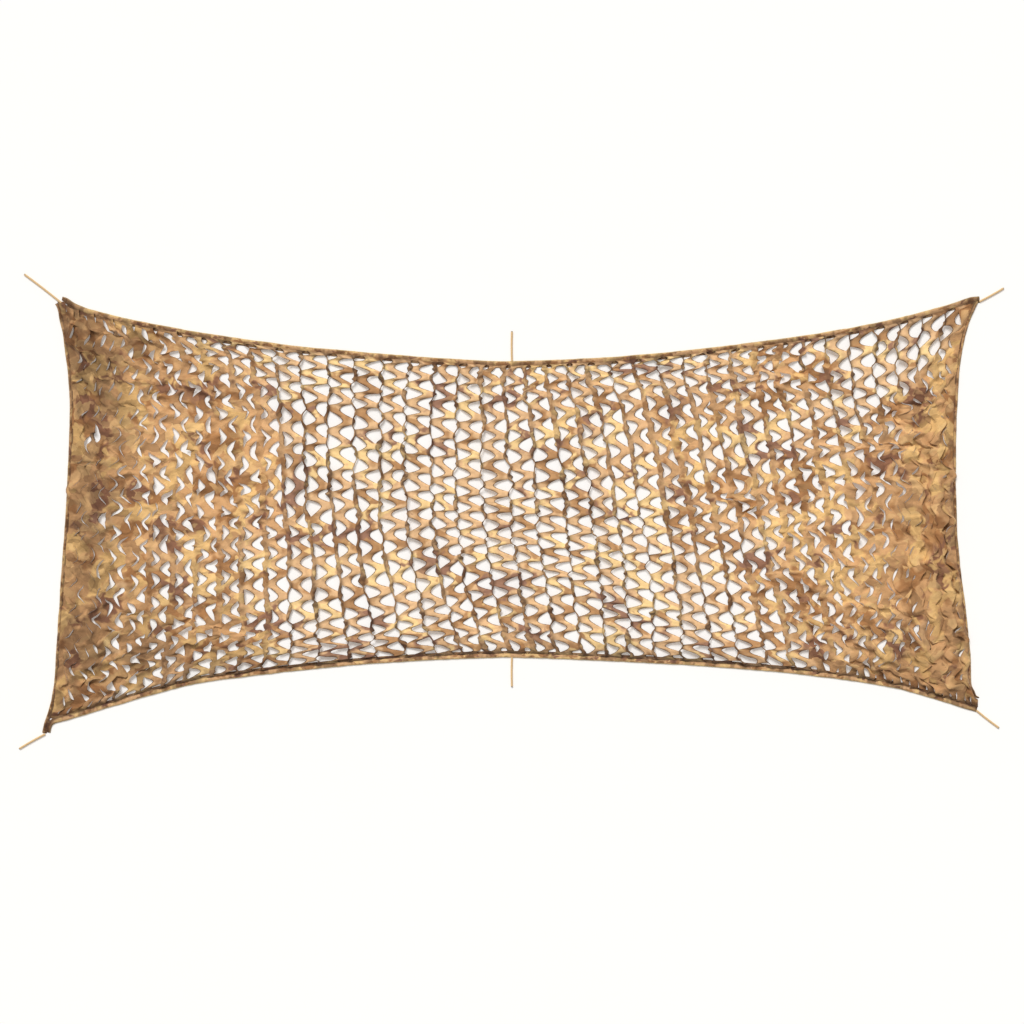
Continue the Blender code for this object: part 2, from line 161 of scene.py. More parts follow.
def layout(line, row, ax, ay):
    """Where a line and row of the cut pattern lie on the spread-out net."""
    line, row = np.broadcast_arrays(np.asarray(line, float), np.asarray(row, float))
    u, v = (line - FIRST_LINE) / RIBBONS, (row - ROW_TOP) / ROWS
    t = np.array(LINES_AT_HEM, float)
    top, bottom = inset(TOP_EDGE, 13)[:-1][::-1], inset(BOTTOM_EDGE, 13)[3:]
    left, right = inset(LEFT_EDGE, 9)[::-1], inset(RIGHT_EDGE, 9)
    tx, bx = np.interp(line, t[:, 0], t[:, 1]), np.interp(line, t[:, 0], t[:, 2])
    ty, by = np.interp(tx, top[:, 0], top[:, 1]), np.interp(bx, bottom[:, 0], bottom[:, 1])
    c = [(t[0, 1], np.interp(t[0, 1], *top.T)), (t[-1, 1], np.interp(t[-1, 1], *top.T)), (t[0, 2], np.interp(t[0, 2], *bottom.T)), (t[-1, 2], np.interp(t[-1, 2], *bottom.T))]
    ly, ry = c[0][1] + v * (c[2][1] - c[0][1]), c[1][1] + v * (c[3][1] - c[1][1])
    lx, rx = np.interp(ly, left[:, 1], left[:, 0]), np.interp(ry, right[:, 1], right[:, 0])
    x = (1 - v) * tx + v * bx + (1 - u) * lx + u * rx - ((1 - u) * (1 - v) * c[0][0] + u * (1 - v) * c[1][0] + (1 - u) * v * c[2][0] + u * v * c[3][0])
    y = (1 - v) * ty + v * by + (1 - u) * ly + u * ry - ((1 - u) * (1 - v) * c[0][1] + u * (1 - v) * c[1][1] + (1 - u) * v * c[2][1] + u * v * c[3][1])
    for i in range(len(ax)):
        for j in range(len(ax[0])):
            x = x + ax[i][j] * np.sin(np.pi * (i + 1) * u) * np.sin(np.pi * (j + 1) * v)
    for i in range(len(ay)):
        for j in range(len(ay[0])):
            y = y + ay[i][j] * np.sin(np.pi * (i + 1) * u) * np.sin(np.pi * (j + 1) * v)
    return x, y


AX = ((14, 0), (-31, -4), (24, -2), (20, 0), (14, 3), (-21, 1), (5, -1))
AY = ((-10, 26, 3, 8), (-17, 6, 1, 1), (2, 18, -6, 1), (-11, 1, 10, 3), (2, -7, -3, -4), (0, -3, -1, 0), (-3, 5, -5, -1), (1, -1, 0, -1))
CEILING = 25.0


def pull(a, b, rest, k):
    d = b - a
    n = np.sqrt(np.einsum("...i,...i->...", d, d)) + F(1e-9)
    c = ((F(0.5 * k)) * (n - rest) / n)[..., None] * d
    a += c
    b -= c


def push(a, b, rest, k, only_short):
    d = b - a
    n = np.sqrt(np.einsum("...i,...i->...", d, d)) + F(1e-9)
    e = n - rest
    if only_short:
        e = np.minimum(e, 0)
    return (F(0.5 * k) * e / n)[..., None] * d


def smooth_noise(rng, shape, scale_rows, scale_cols):
    """Gentle noise of about unit size over a grid, by interpolating a coarse one."""
    n, m = int(shape[0] / scale_rows) + 3, int(shape[1] / scale_cols) + 3
    g = rng.normal(0, 1, (n, m))
    a, b = np.arange(shape[0]) / scale_rows, np.arange(shape[1]) / scale_cols
    ia, ib = a.astype(int), b.astype(int)
    fa, fb = a - ia, b - ib
    fa, fb = fa * fa * (3 - 2 * fa), fb * fb * (3 - 2 * fb)
    r0 = g[ia][:, ib] * (1 - fb) + g[ia][:, ib + 1] * fb
    r1 = g[ia + 1][:, ib] * (1 - fb) + g[ia + 1][:, ib + 1] * fb
    return r0 * (1 - fa)[:, None] + r1 * fa[:, None]


def field(rng, x, y, scale):
    """Gentle noise of about unit size over the floor, with a new value every scale mm."""
    g = rng.normal(0, 1, (int(3400 / scale) + 3, int(1700 / scale) + 3))
    a, b = (x + 1700) / scale, (y + 850) / scale
    ia, ib = a.astype(int), b.astype(int)
    fa, fb = a - ia, b - ib
    fa, fb = fa * fa * (3 - 2 * fa), fb * fb * (3 - 2 * fb)
    return (g[ia, ib] * (1 - fa) + g[ia + 1, ib] * fa) * (1 - fb) + (g[ia, ib + 1] * (1 - fa) + g[ia + 1, ib + 1] * fa) * fb


def fold_height(x, y):
    z = np.zeros_like(x)
    for x0, y0, x1, y1, half, high in FOLDS:
        dx, dy = x1 - x0, y1 - y0
        length = dx * dx + dy * dy
        t = np.clip(((x - x0) * dx + (y - y0) * dy) / length, -0.15, 1.15)
        d = np.hypot(x - x0 - t * dx, y - y0 - t * dy) / half
        z = np.maximum(z, high * np.clip(1 - d * d, 0, 1) ** 2)
    return z


def lay_out_net(steps=60, its=6, seed=7, kb_r=0.12, kb_s=0.05, ks=0.6, kc=0.35, curl_r=0.985, curl_s=0.85, gutter=0.6, tilt=45.0, roll=1.48, leaf=9.0, crumple=1.0, stray_by=1.1, lean_by=0.3, tongues=0.6, rise_tilt=56.0, fall_tilt=29.0, string_hold=0.35, strip_hold=0.05, wiggle=0.38, roll_noise=0.22, x_noise=2.4, tongue_long=18.0, pin=0.2, noise=1.7, smooth=1.6, loose=4.0, damp=0.9, relax=2):
    rng = np.random.default_rng(seed)
    K, S, J = RIBBONS, ACROSS, ROWS * STEP
    row = ROW_TOP + np.arange(J + 1) / STEP
    zz = zigzag(row)
    amp = np.full(K + 1, WAVE)
    amp[0] = amp[-1] = 0
    cut = np.arange(K + 1)[:, None] * STRIP + amp[:, None] * zz[None]
    s = np.linspace(0, 1, S + 1)
    U = cut[:-1, None] * (1 - s)[None, :, None] + cut[1:, None] * s[None, :, None]
    V = np.broadcast_to(-(np.arange(J + 1) / STEP * HALF_WAVE)[None, None], U.shape)
    flat = np.stack([U, V], -1).astype(F)
    turned = (FIRST_LINE + np.arange(K)) % 2 == 0                    # the strips that turn on edge when the net is drawn out
    phase = np.arange(J + 1) % (2 * STEP)             # 0 at odd rows, because the top row is odd
    odd = np.minimum(phase, 2 * STEP - phase) <= 2
    even = np.abs(phase - STEP) <= 2
    bridge = np.zeros((K - 1, J + 1), bool)
    for i in range(K - 1):
        bridge[i] = even if (FIRST_LINE + i + 1) % 2 == 1 else odd  # line i + 1; its number c = i + 1 - 38 has the same parity
    # where each strip runs, and how far the net is drawn out there
    c = FIRST_LINE + np.arange(K)
    lx, ly = layout(c[:, None] + 0.5, row[None], AX, AY)           # middle of each strip
    ex, ey = layout(c[:, None] + 1.5, row[None], AX, AY)
    wx, wy = layout(c[:, None] - 0.5, row[None], AX, AY)
    spread_out = smoothstep(np.abs(ex - wx), 64, 82)
    for x0, y0, half, by_x, by_y in NUDGES:
        near_by = np.exp(-((lx - x0) ** 2 + (ly - y0) ** 2) / half ** 2)
        lx, ly = lx + by_x * near_by, ly + by_y * near_by
    for a in (lx, ly):
        a += loose * (0.2 + 0.8 * spread_out) * (0.8 * smooth_noise(rng, a.shape, 3, 26) + 0.7 * smooth_noise(rng, a.shape, 1, STEP))
    pitch = np.abs(ex - wx)
    q = -np.gradient(ly, axis=1) * STEP
    reach = np.sqrt(np.maximum((STRIP + 2 * WAVE) ** 2 + HALF_WAVE ** 2 - q ** 2, 100))
    gap = np.clip(pitch - reach, -3.0, 24.0)                        # width left for a turned strip
    openness = (pitch - 66.5) / 20
    for x0, y0, wide, high, more in SPOTS:
        openness = openness + more * np.exp(-((lx - x0) / wide) ** 2 - ((ly - y0) / high) ** 2)
    stray = np.maximum(smooth_noise(rng, lx.shape, 1.6, 1.3 * STEP) - 0.75, 0) * stray_by
    openness = openness + stray * (1 - smoothstep(openness, 0, 0.5)) * np.clip(np.abs(ly) / 420, 0.5, 1.15)
    drawn = smoothstep(openness, 0, 1)                             # 0 where the cloth lies closed, 1 where it's drawn open
    # targets of the bridge centres, line i + 1
    T = np.zeros((K - 1, J + 1, 2))
    mask = np.zeros((K - 1, J + 1), bool)
    for i in range(K - 1):
        n = i if turned[i] else i + 1                              # the turned strip beside this line
        side = 0.5 if turned[i] else -0.5
        T[i, :, 0] = lx[n] + side * gap[n] - (wiggle * WAVE * zz + 1.5) * drawn[n]
        T[i, :, 1] = ly[n]
        mask[i] = (phase == STEP) if (FIRST_LINE + i + 1) % 2 == 1 else (phase == 0)
    T[..., 0] += smooth * smooth_noise(rng, T.shape[:2], 3, 24) + noise * smooth_noise(rng, T.shape[:2], 1, STEP)
    T[..., 1] += smooth * smooth_noise(rng, T.shape[:2], 3, 24) + noise * smooth_noise(rng, T.shape[:2], 1, STEP)
    mask[:, 0] = mask[:, -1] = False
    # shape of the turned strips: rolled into a rough cord, with bends and tongues, where the net is drawn open
    P = np.zeros((K, S + 1, J + 1, 3))
    mid_z = 2.5 + 6.5 * drawn
    segment = (np.arange(S) - (S - 1) / 2)[:, None]
    n_lean = smooth_noise(rng, (K, J + 1), 1, 9) + 0.5 * smooth_noise(rng, (K, J + 1), 1, 3)
    n_roll = smooth_noise(rng, (K, J + 1), 1, 7)
    n_x = smooth_noise(rng, (K, J + 1), 1, 11) + 0.8 * smooth_noise(rng, (K, J + 1), 1, 2.5)
    n_z = smooth_noise(rng, (K, J + 1), 1, 13) + 0.6 * smooth_noise(rng, (K, J + 1), 1, 3)
    near = np.exp(-((np.abs(phase - STEP)) / 1.4) ** 2)              # 1 at even rows
    far = np.exp(-(np.minimum(phase, 2 * STEP - phase) / 1.4) ** 2)  # 1 at odd rows
    at_row = (np.arange(J + 1) + STEP // 2) // STEP
    tongue = np.where(rng.random((K, ROWS + 2)) < tongues, rng.uniform(6, tongue_long, (K, ROWS + 2)), rng.uniform(0, 3, (K, ROWS + 2)))
    lift = rng.uniform(-5, 5, (K, ROWS + 2))
    for i in range(K):
        zig = WAVE * zz if 0 < i < K - 1 else 0.5 * WAVE * zz
        if turned[i]:
            lean = lean_by * n_lean[i] * drawn[i] + np.radians(tilt) * drawn[i] * (1 - drawn[i]) * 2
            bend = -(roll * (1 + roll_noise * n_roll[i]) * drawn[i])[None] * segment
            ox = np.vstack([np.zeros(J + 1), np.cumsum(np.cos(lean + bend) * STRIP / S, 0)])
            oz = np.vstack([np.zeros(J + 1), np.cumsum(np.sin(lean + bend) * STRIP / S, 0)])
            ox -= ox.mean(0)
            oz -= oz.mean(0)
            P[i, ..., 0] = lx[i] + ox + zig * (1 - drawn[i]) ** 1.5 + (x_noise * n_x[i] - wiggle * zig - 1.5) * drawn[i]
            P[i, ..., 2] = mid_z[i] + 2.0 + oz + 2.2 * n_z[i] * drawn[i]
            left = tongue[i][at_row] * near * drawn[i]
            right = tongue[i][at_row] * far * drawn[i]
            P[i, 0, :, 0] -= left
            P[i, 1, :, 0] -= 0.55 * left
            P[i, -1, :, 0] += right
            P[i, -2, :, 0] += 0.55 * right
            P[i, 0, :, 2] += (lift[i][at_row] * near * (left > 4))
            P[i, -1, :, 2] += (lift[i][at_row] * far * (right > 4))
            P[i, ..., 1] = ly[i]
        else:
            left = lx[i - 1] + 0.5 * gap[i - 1]
            right = lx[i + 1] - 0.5 * gap[i + 1]
            arm = 1 - (1 - np.sin(np.pi * row) ** 2) ** 2
            rising = np.where(phase < STEP, 1.0, 0.0)               # arms that climb to the right in the picture
            phi = np.radians(np.where(rising > 0, rise_tilt, fall_tilt)) * arm * drawn[i] * (1 + 0.25 * n_roll[i])
            wide = STRIP * np.clip((right - left) / reach[i], 0.5, 1)
            l = left + (zz + 1) / 2 * (right - left - wide)
            mid = l + wide / 2
            vx = (1 - arm) + arm * (0.463 * np.cos(phi) + 0.497)
            vy = np.where(rising > 0, -1, 1) * arm * (0.636 * np.cos(phi) - 0.362) * drawn[i]
            vz = -0.785 * np.sin(phi)
            bend = -(gutter * drawn[i] * (0.35 + 0.65 * arm))[None] * segment
            gx = np.vstack([np.zeros(J + 1), np.cumsum(np.cos(bend) / S, 0)])
            gz = np.vstack([np.zeros(J + 1), np.cumsum(np.sin(bend) / S, 0)])
            gx -= gx.mean(0)
            gz -= gz.mean(0)
            P[i, ..., 0] = mid + gx * wide * vx
            P[i, ..., 1] = ly[i] + gx * wide * vy
            P[i, ..., 2] = mid_z[i] + gx * wide * vz + gz * wide
    P[..., 2] += fold_height(P[..., 0], P[..., 1])
    P[..., 2] += rng.normal(0, 0.3, P[..., 2].shape)
    P[..., 2] -= np.minimum(P[..., 2].min(1, keepdims=True) - 0.8, 0)
    hold_s = (np.where(turned[:, None], string_hold, strip_hold) * smoothstep(drawn, 0.25, 0.9))[:, None, :, None].astype(F)
    home = P.astype(F).copy()
    # edges
    hx = np.zeros((2, K, S + 1))
    hy = np.zeros((2, K, S + 1))
    for n, r in ((0, ROW_TOP), (1, ROW_TOP + ROWS)):
        for i in range(K):
            # strips joined at the edge lie side by side in pairs, with a cut gaping between the pairs
            middle = c[i] + (1 if (c[i] % 2 == 1) == (n == 0) else 0)
            middle = min(max(middle, FIRST_LINE), FIRST_LINE + RIBBONS)
            mx, my = layout(middle, r, AX, AY)
            ax_, ay_ = layout(middle - 0.5, r, AX, AY)
            bx_, by_ = layout(middle + 0.5, r, AX, AY)
            tx, ty = bx_ - ax_, by_ - ay_
            full = np.hypot(tx, ty)
            tx, ty = tx / full, ty / full
            off = (U[i, :, 0 if n == 0 else -1] - ((middle - FIRST_LINE) * STRIP + (amp[middle - FIRST_LINE] * (1 if n == 0 else zz[-1]))))
            off = off * full / STRIP
            hx[n, i], hy[n, i] = mx + off * tx, my + off * ty
    lxs, lys = layout(FIRST_LINE, row, AX, AY)
    rxs, rys = layout(FIRST_LINE + RIBBONS, row, AX, AY)

    def hold(P):
        P[:, :, 0, 0], P[:, :, 0, 1] = hx[0], hy[0]
        P[:, :, -1, 0], P[:, :, -1, 1] = hx[1], hy[1]
        P[0, 0, :, 0], P[0, 0, :, 1] = lxs, lys
        P[-1, -1, :, 0], P[-1, -1, :, 1] = rxs, rys
        for e in (P[:, :, 0], P[:, :, -1], P[0, 0], P[-1, -1]):
            e[..., 2] += (F(1.3) - e[..., 2]) * F(0.5)

    P = P.astype(F)
    L = lambda a, b: np.sqrt(((b - a) ** 2).sum(-1)).astype(F)
    f = flat
    r_al, r_ac = L(f[:, :, :-1], f[:, :, 1:]), L(f[:, :-1], f[:, 1:])
    r_d1, r_d2 = L(f[:, :-1, :-1], f[:, 1:, 1:]), L(f[:, 1:, :-1], f[:, :-1, 1:])
    r_b2, r_a2 = L(f[:, :, :-2], f[:, :, 2:]), L(f[:, :-2], f[:, 2:])
    r_x = L(f[:-1, -2], f[1:, 1])
    curl = np.where(turned[:, None], 1 + (curl_s - 1) * drawn, 1 + (curl_r - 1) * drawn)
    r_a2 = (r_a2 * curl[:, None, :]).astype(F)
    m3 = bridge[..., None]
    kb_strip = np.where(turned, kb_s, kb_r).astype(F)[:, None, None, None]
    kb_map = (bridge * F(1.0))[..., None].astype(F)

    # a rolled strip leads where it joins a wide one
    lead = (smoothstep(drawn, 0.25, 0.9) * turned[:, None])
    w_a = (0.5 + 0.4 * lead[:-1] - 0.4 * lead[1:])[..., None].astype(F)

    def join():
        a, b = P[:-1, -1], P[1:, 0]
        mid = a * w_a + b * (1 - w_a)
        a[...] = np.where(m3, mid, a)
        b[...] = np.where(m3, mid, b)

    join()
    Tm = T[mask].astype(F)
    soft_pin = (1 - 0.8 * np.maximum(lead[:-1], lead[1:]))[mask][:, None].astype(F)
    vel = np.zeros_like(P)
    for step in range(steps):
        old = P.copy()
        P += vel
        for _ in range(its):
            for o in (0, 1):
                pull(P[:, :, o:J:2], P[:, :, o + 1:J + 1:2], r_al[:, :, o::2], 1)
            for o in (0, 1):
                pull(P[:, o:S:2], P[:, o + 1:S + 1:2], r_ac[:, o::2], 1)
            for o in (0, 1):
                pull(P[:, o:S:2, :-1], P[:, o + 1:S + 1:2, 1:], r_d1[:, o::2], ks)
                pull(P[:, o + 1:S + 1:2, :-1], P[:, o:S:2, 1:], r_d2[:, o::2], ks)
            k = push(P[:, :, :-2], P[:, :, 2:], r_b2, 1.0, True) * kb_strip
            P[:, :, :-2] += k
            P[:, :, 2:] -= k
            k = push(P[:, :-2], P[:, 2:], r_a2, kc, False)
            P[:, :-2] += k
            P[:, 2:] -= k
            k = push(P[:-1, -2], P[1:, 1], r_x, 0.12, True) * kb_map
            P[:-1, -2] += k
            P[1:, 1] -= k
            P += hold_s * (home - P)
            join()
            z = P[..., 2]
            z -= (z - np.clip(z, F(0.8), F(CEILING))) * F(0.5)
            for arr in (P[:-1, -1], P[1:, 0]):
                cur = arr[..., :2]
                cur[mask] += F(pin) * soft_pin * (Tm - cur[mask])
            hold(P)
        vel = (P - old) * F(damp)
        vel[..., 2] *= F(0.98)
    for _ in range(relax):
        P[:, :, 1:-1] += F(0.25) * (P[:, :, :-2] + P[:, :, 2:] - 2 * P[:, :, 1:-1])
        P[:, 1:-1] += F(0.2) * (P[:, :-2] + P[:, 2:] - 2 * P[:, 1:-1])
        join()
    # slack slits: here and there one edge curls up like a leaf and leaves a sliver open
    for k in range(K - 1):
        slit = np.sin(np.pi * row / 2) ** 2 if (FIRST_LINE + k + 1) % 2 == 1 else np.cos(np.pi * row / 2) ** 2
        number = (np.arange(J + 1) + (0 if (FIRST_LINE + k + 1) % 2 == 1 else STEP)) // (2 * STEP)
        up = (rng.random(ROWS) ** 1.6 * leaf)[number] * slit
        back = rng.random(ROWS)[number] < 0.5
        slack = (1 - smoothstep(drawn[k], 0.1, 0.8)) * np.where(lx[k] > 0, 1.0, 0.6)
        for on, strip, at, near_by, sign in ((back, k, -1, -2, -1), (~back, k + 1, 0, 1, 1)):
            h = (up * slack * on).astype(F)
            P[strip, at, :, 2] += h
            P[strip, near_by, :, 2] += F(0.4) * h
            P[strip, at, :, 0] += F(0.5 * sign) * h
            P[strip, at, :, 1] += F(0.25) * h * (1 if back[0] else -1)
    # the slack cloth is crumpled, most of all at the hems
    from_hem = np.minimum(np.arange(J + 1), J - np.arange(J + 1)) / STEP
    slack = np.maximum(1 - smoothstep(drawn, 0.1, 0.8), 0.55 * np.clip(1 - from_hem / 2.5, 0, 1))[:, None, :] * smoothstep(from_hem, 0.1, 1.3)[None, None]
    px, py = P[..., 0].copy(), P[..., 1].copy()
    P[..., 0] += crumple * slack * (6.5 * field(rng, px, py, 62) + 3.2 * field(rng, px, py, 23))
    P[..., 1] += crumple * slack * (5.5 * field(rng, px, py, 55) + 3.0 * field(rng, px, py, 21))
    ridge = np.clip(1 - 2.2 * np.abs(field(rng, px, py, 48)), 0, 1) ** 1.5 * 5.5 + np.clip(1 - 2.4 * np.abs(field(rng, px, py, 27)), 0, 1) * 2.6
    P[..., 2] += crumple * slack * ridge
    hold(P)
    join()
    np.clip(P[..., 2], F(0.8), F(CEILING + 1.5), out=P[..., 2])
    return P, flat, bridge, turned, drawn

# ======================================================================================
# Materials
# ======================================================================================
def linear(r, g, b):
    """A display colour, 0 to 255, as a linear one."""
    return tuple((v / 255 / 12.92 if v / 255 <= 0.04045 else ((v / 255 + 0.055) / 1.055) ** 2.4) for v in (r, g, b)) + (1.0,)


class Tree:
    """Short helpers to wire a material's nodes."""

    def __init__(self, name):
        self.material = bpy.data.materials.new(name)
        self.material.use_nodes = True
        self.nodes = self.material.node_tree.nodes
        self.links = self.material.node_tree.links
        self.shader = self.nodes["Principled BSDF"]
        self.column = 0

    def add(self, kind, **settings):
        node = self.nodes.new(kind)
        self.column += 1
        node.location = (-180 * (self.column % 9) - 300, -190 * (self.column // 9) + 500)
        for key, value in settings.items():
            setattr(node, key, value)
        return node

    def put(self, value, socket):
        if isinstance(value, bpy.types.NodeSocket):
            self.links.new(value, socket)
        elif value is not None:
            socket.default_value = value

    def attribute(self, name):
        return self.add("ShaderNodeAttribute", attribute_name=name)

    def mapped(self, vector, scale=(1, 1, 1), turn=0.0, shift=(0, 0, 0)):
        n = self.add("ShaderNodeMapping")
        self.put(vector, n.inputs["Vector"])
        n.inputs["Scale"].default_value = scale
        n.inputs["Rotation"].default_value = (0, 0, turn)
        n.inputs["Location"].default_value = shift
        return n.outputs["Vector"]

    def noise(self, vector, scale, detail=2.0, rough=0.5, distortion=0.0):
        n = self.add("ShaderNodeTexNoise")
        self.put(vector, n.inputs["Vector"])
        n.inputs["Scale"].default_value = scale
        n.inputs["Detail"].default_value = detail
        n.inputs["Roughness"].default_value = rough
        n.inputs["Distortion"].default_value = distortion
        return n.outputs["Fac"]

    def ramp(self, value, low, high, a=0.0, b=1.0):
        n = self.add("ShaderNodeMapRange", interpolation_type="SMOOTHSTEP")
        self.put(value, n.inputs["Value"])
        for key, v in (("From Min", low), ("From Max", high), ("To Min", a), ("To Max", b)):
            n.inputs[key].default_value = v
        return n.outputs["Result"]

    def mix(self, factor, a, b, kind="MIX"):
        n = self.add("ShaderNodeMix", data_type="RGBA", blend_type=kind)
        self.put(factor, n.inputs["Factor"])
        self.put(a, n.inputs[6])
        self.put(b, n.inputs[7])
        return n.outputs[2]

    def math(self, kind, a, b=None, c=None):
        n = self.add("ShaderNodeMath", operation=kind)
        for socket, value in zip(n.inputs, (a, b, c)):
            self.put(value, socket)
        return n.outputs[0]

    def bump(self, height, strength, distance, normal=None):
        n = self.add("ShaderNodeBump")
        self.put(strength, n.inputs["Strength"])
        n.inputs["Distance"].default_value = distance
        self.put(height, n.inputs["Height"])
        self.put(normal, n.inputs["Normal"])
        return n.outputs["Normal"]

    def wave(self, vector, scale, direction, distortion=0.0):
        n = self.add("ShaderNodeTexWave", wave_type="BANDS", bands_direction=direction)
        self.put(vector, n.inputs["Vector"])
        n.inputs["Scale"].default_value = scale
        n.inputs["Distortion"].default_value = distortion
        n.inputs["Detail"].default_value = 1.0
        return n.outputs["Fac"]


SAND = linear(230, 183, 134)
OCHRE = linear(250, 208, 144)
UMBER = linear(158, 114, 90)
OLIVE = linear(186, 136, 90)
DARK = linear(60, 34, 20)


def camouflage(t, at, scale=1.0):
    """A generic desert print of ragged patches in four colours. at is in metres on the cloth."""
    warp = t.add("ShaderNodeTexNoise")
    t.put(at, warp.inputs["Vector"])
    warp.inputs["Scale"].default_value = 18 * scale
    warp.inputs["Detail"].default_value = 3.0
    moved = t.add("ShaderNodeVectorMath", operation="SCALE")
    t.put(warp.outputs["Color"], moved.inputs[0])
    moved.inputs["Scale"].default_value = 0.032 / scale
    where = t.add("ShaderNodeVectorMath", operation="ADD")
    t.put(at, where.inputs[0])
    t.put(moved.outputs[0], where.inputs[1])
    where = where.outputs[0]
    olive = t.ramp(t.noise(t.mapped(where, shift=(3.1, 0.7, 0)), 8 * scale, 2.5, 0.6), 0.51, 0.57)
    umber = t.ramp(t.noise(t.mapped(where, shift=(7.3, 5.2, 0), turn=0.7), 7.5 * scale, 3.0, 0.6), 0.555, 0.61)
    ochre = t.ramp(t.noise(t.mapped(where, shift=(1.9, 9.4, 0), turn=-0.5), 9 * scale, 3.0, 0.6), 0.535, 0.585)
    colour = t.mix(olive, SAND, OLIVE)
    colour = t.mix(umber, colour, UMBER)
    colour = t.mix(ochre, colour, OCHRE)
    return colour


# Painted shade where the net lies bunched or double, at its corners and along its sides: x, y, half width, half height
# in mm, how much.
SHADES = (
    (-1450, 600, 130, 220, 0.9), (-1400, 500, 130, 130, 1.1), (-1250, 560, 140, 70, 0.7), (-1345, 430, 40, 130, 1.0), (-1480, -480, 130, 260, 0.85), (-1330, -360, 320, 150, 0.5), (-1080, -500, 520, 80, 0.65), (1480, -400, 100, 220, 0.55), (1310, 30, 80, 130, 0.3), (1310, -560, 160, 80, 0.5),
    (-1385, -60, 130, 480, 0.72), (-1460, 420, 90, 260, 0.6), (-1470, -430, 90, 260, 0.6), (-1260, -400, 110, 250, 0.35), (-1260, 545, 130, 90, 0.45), (1500, 0, 80, 620, 0.5), (1310, -450, 130, 150, 0.3), (-1400, 570, 110, 90, 0.75), (-1330, 330, 90, 150, 0.68), (-1390, -560, 170, 90, 0.6), (-1150, -570, 260, 55, 0.6),
    (-1400, -440, 110, 210, 1.05), (-1180, -480, 190, 110, 0.85), (-960, -470, 160, 90, 0.5),
    (1518, -622, 34, 34, 0.95), (-1462, 655, 55, 55, 0.75), (1490, -560, 60, 60, 0.6), (1260, -510, 270, 80, 0.55), (1330, 640, 260, 40, 0.5), (-1100, 540, 260, 90, 0.3), (1400, -300, 110, 160, 0.25), (1380, 330, 60, 160, 0.25), (-1180, -200, 150, 150, 0.2),
)


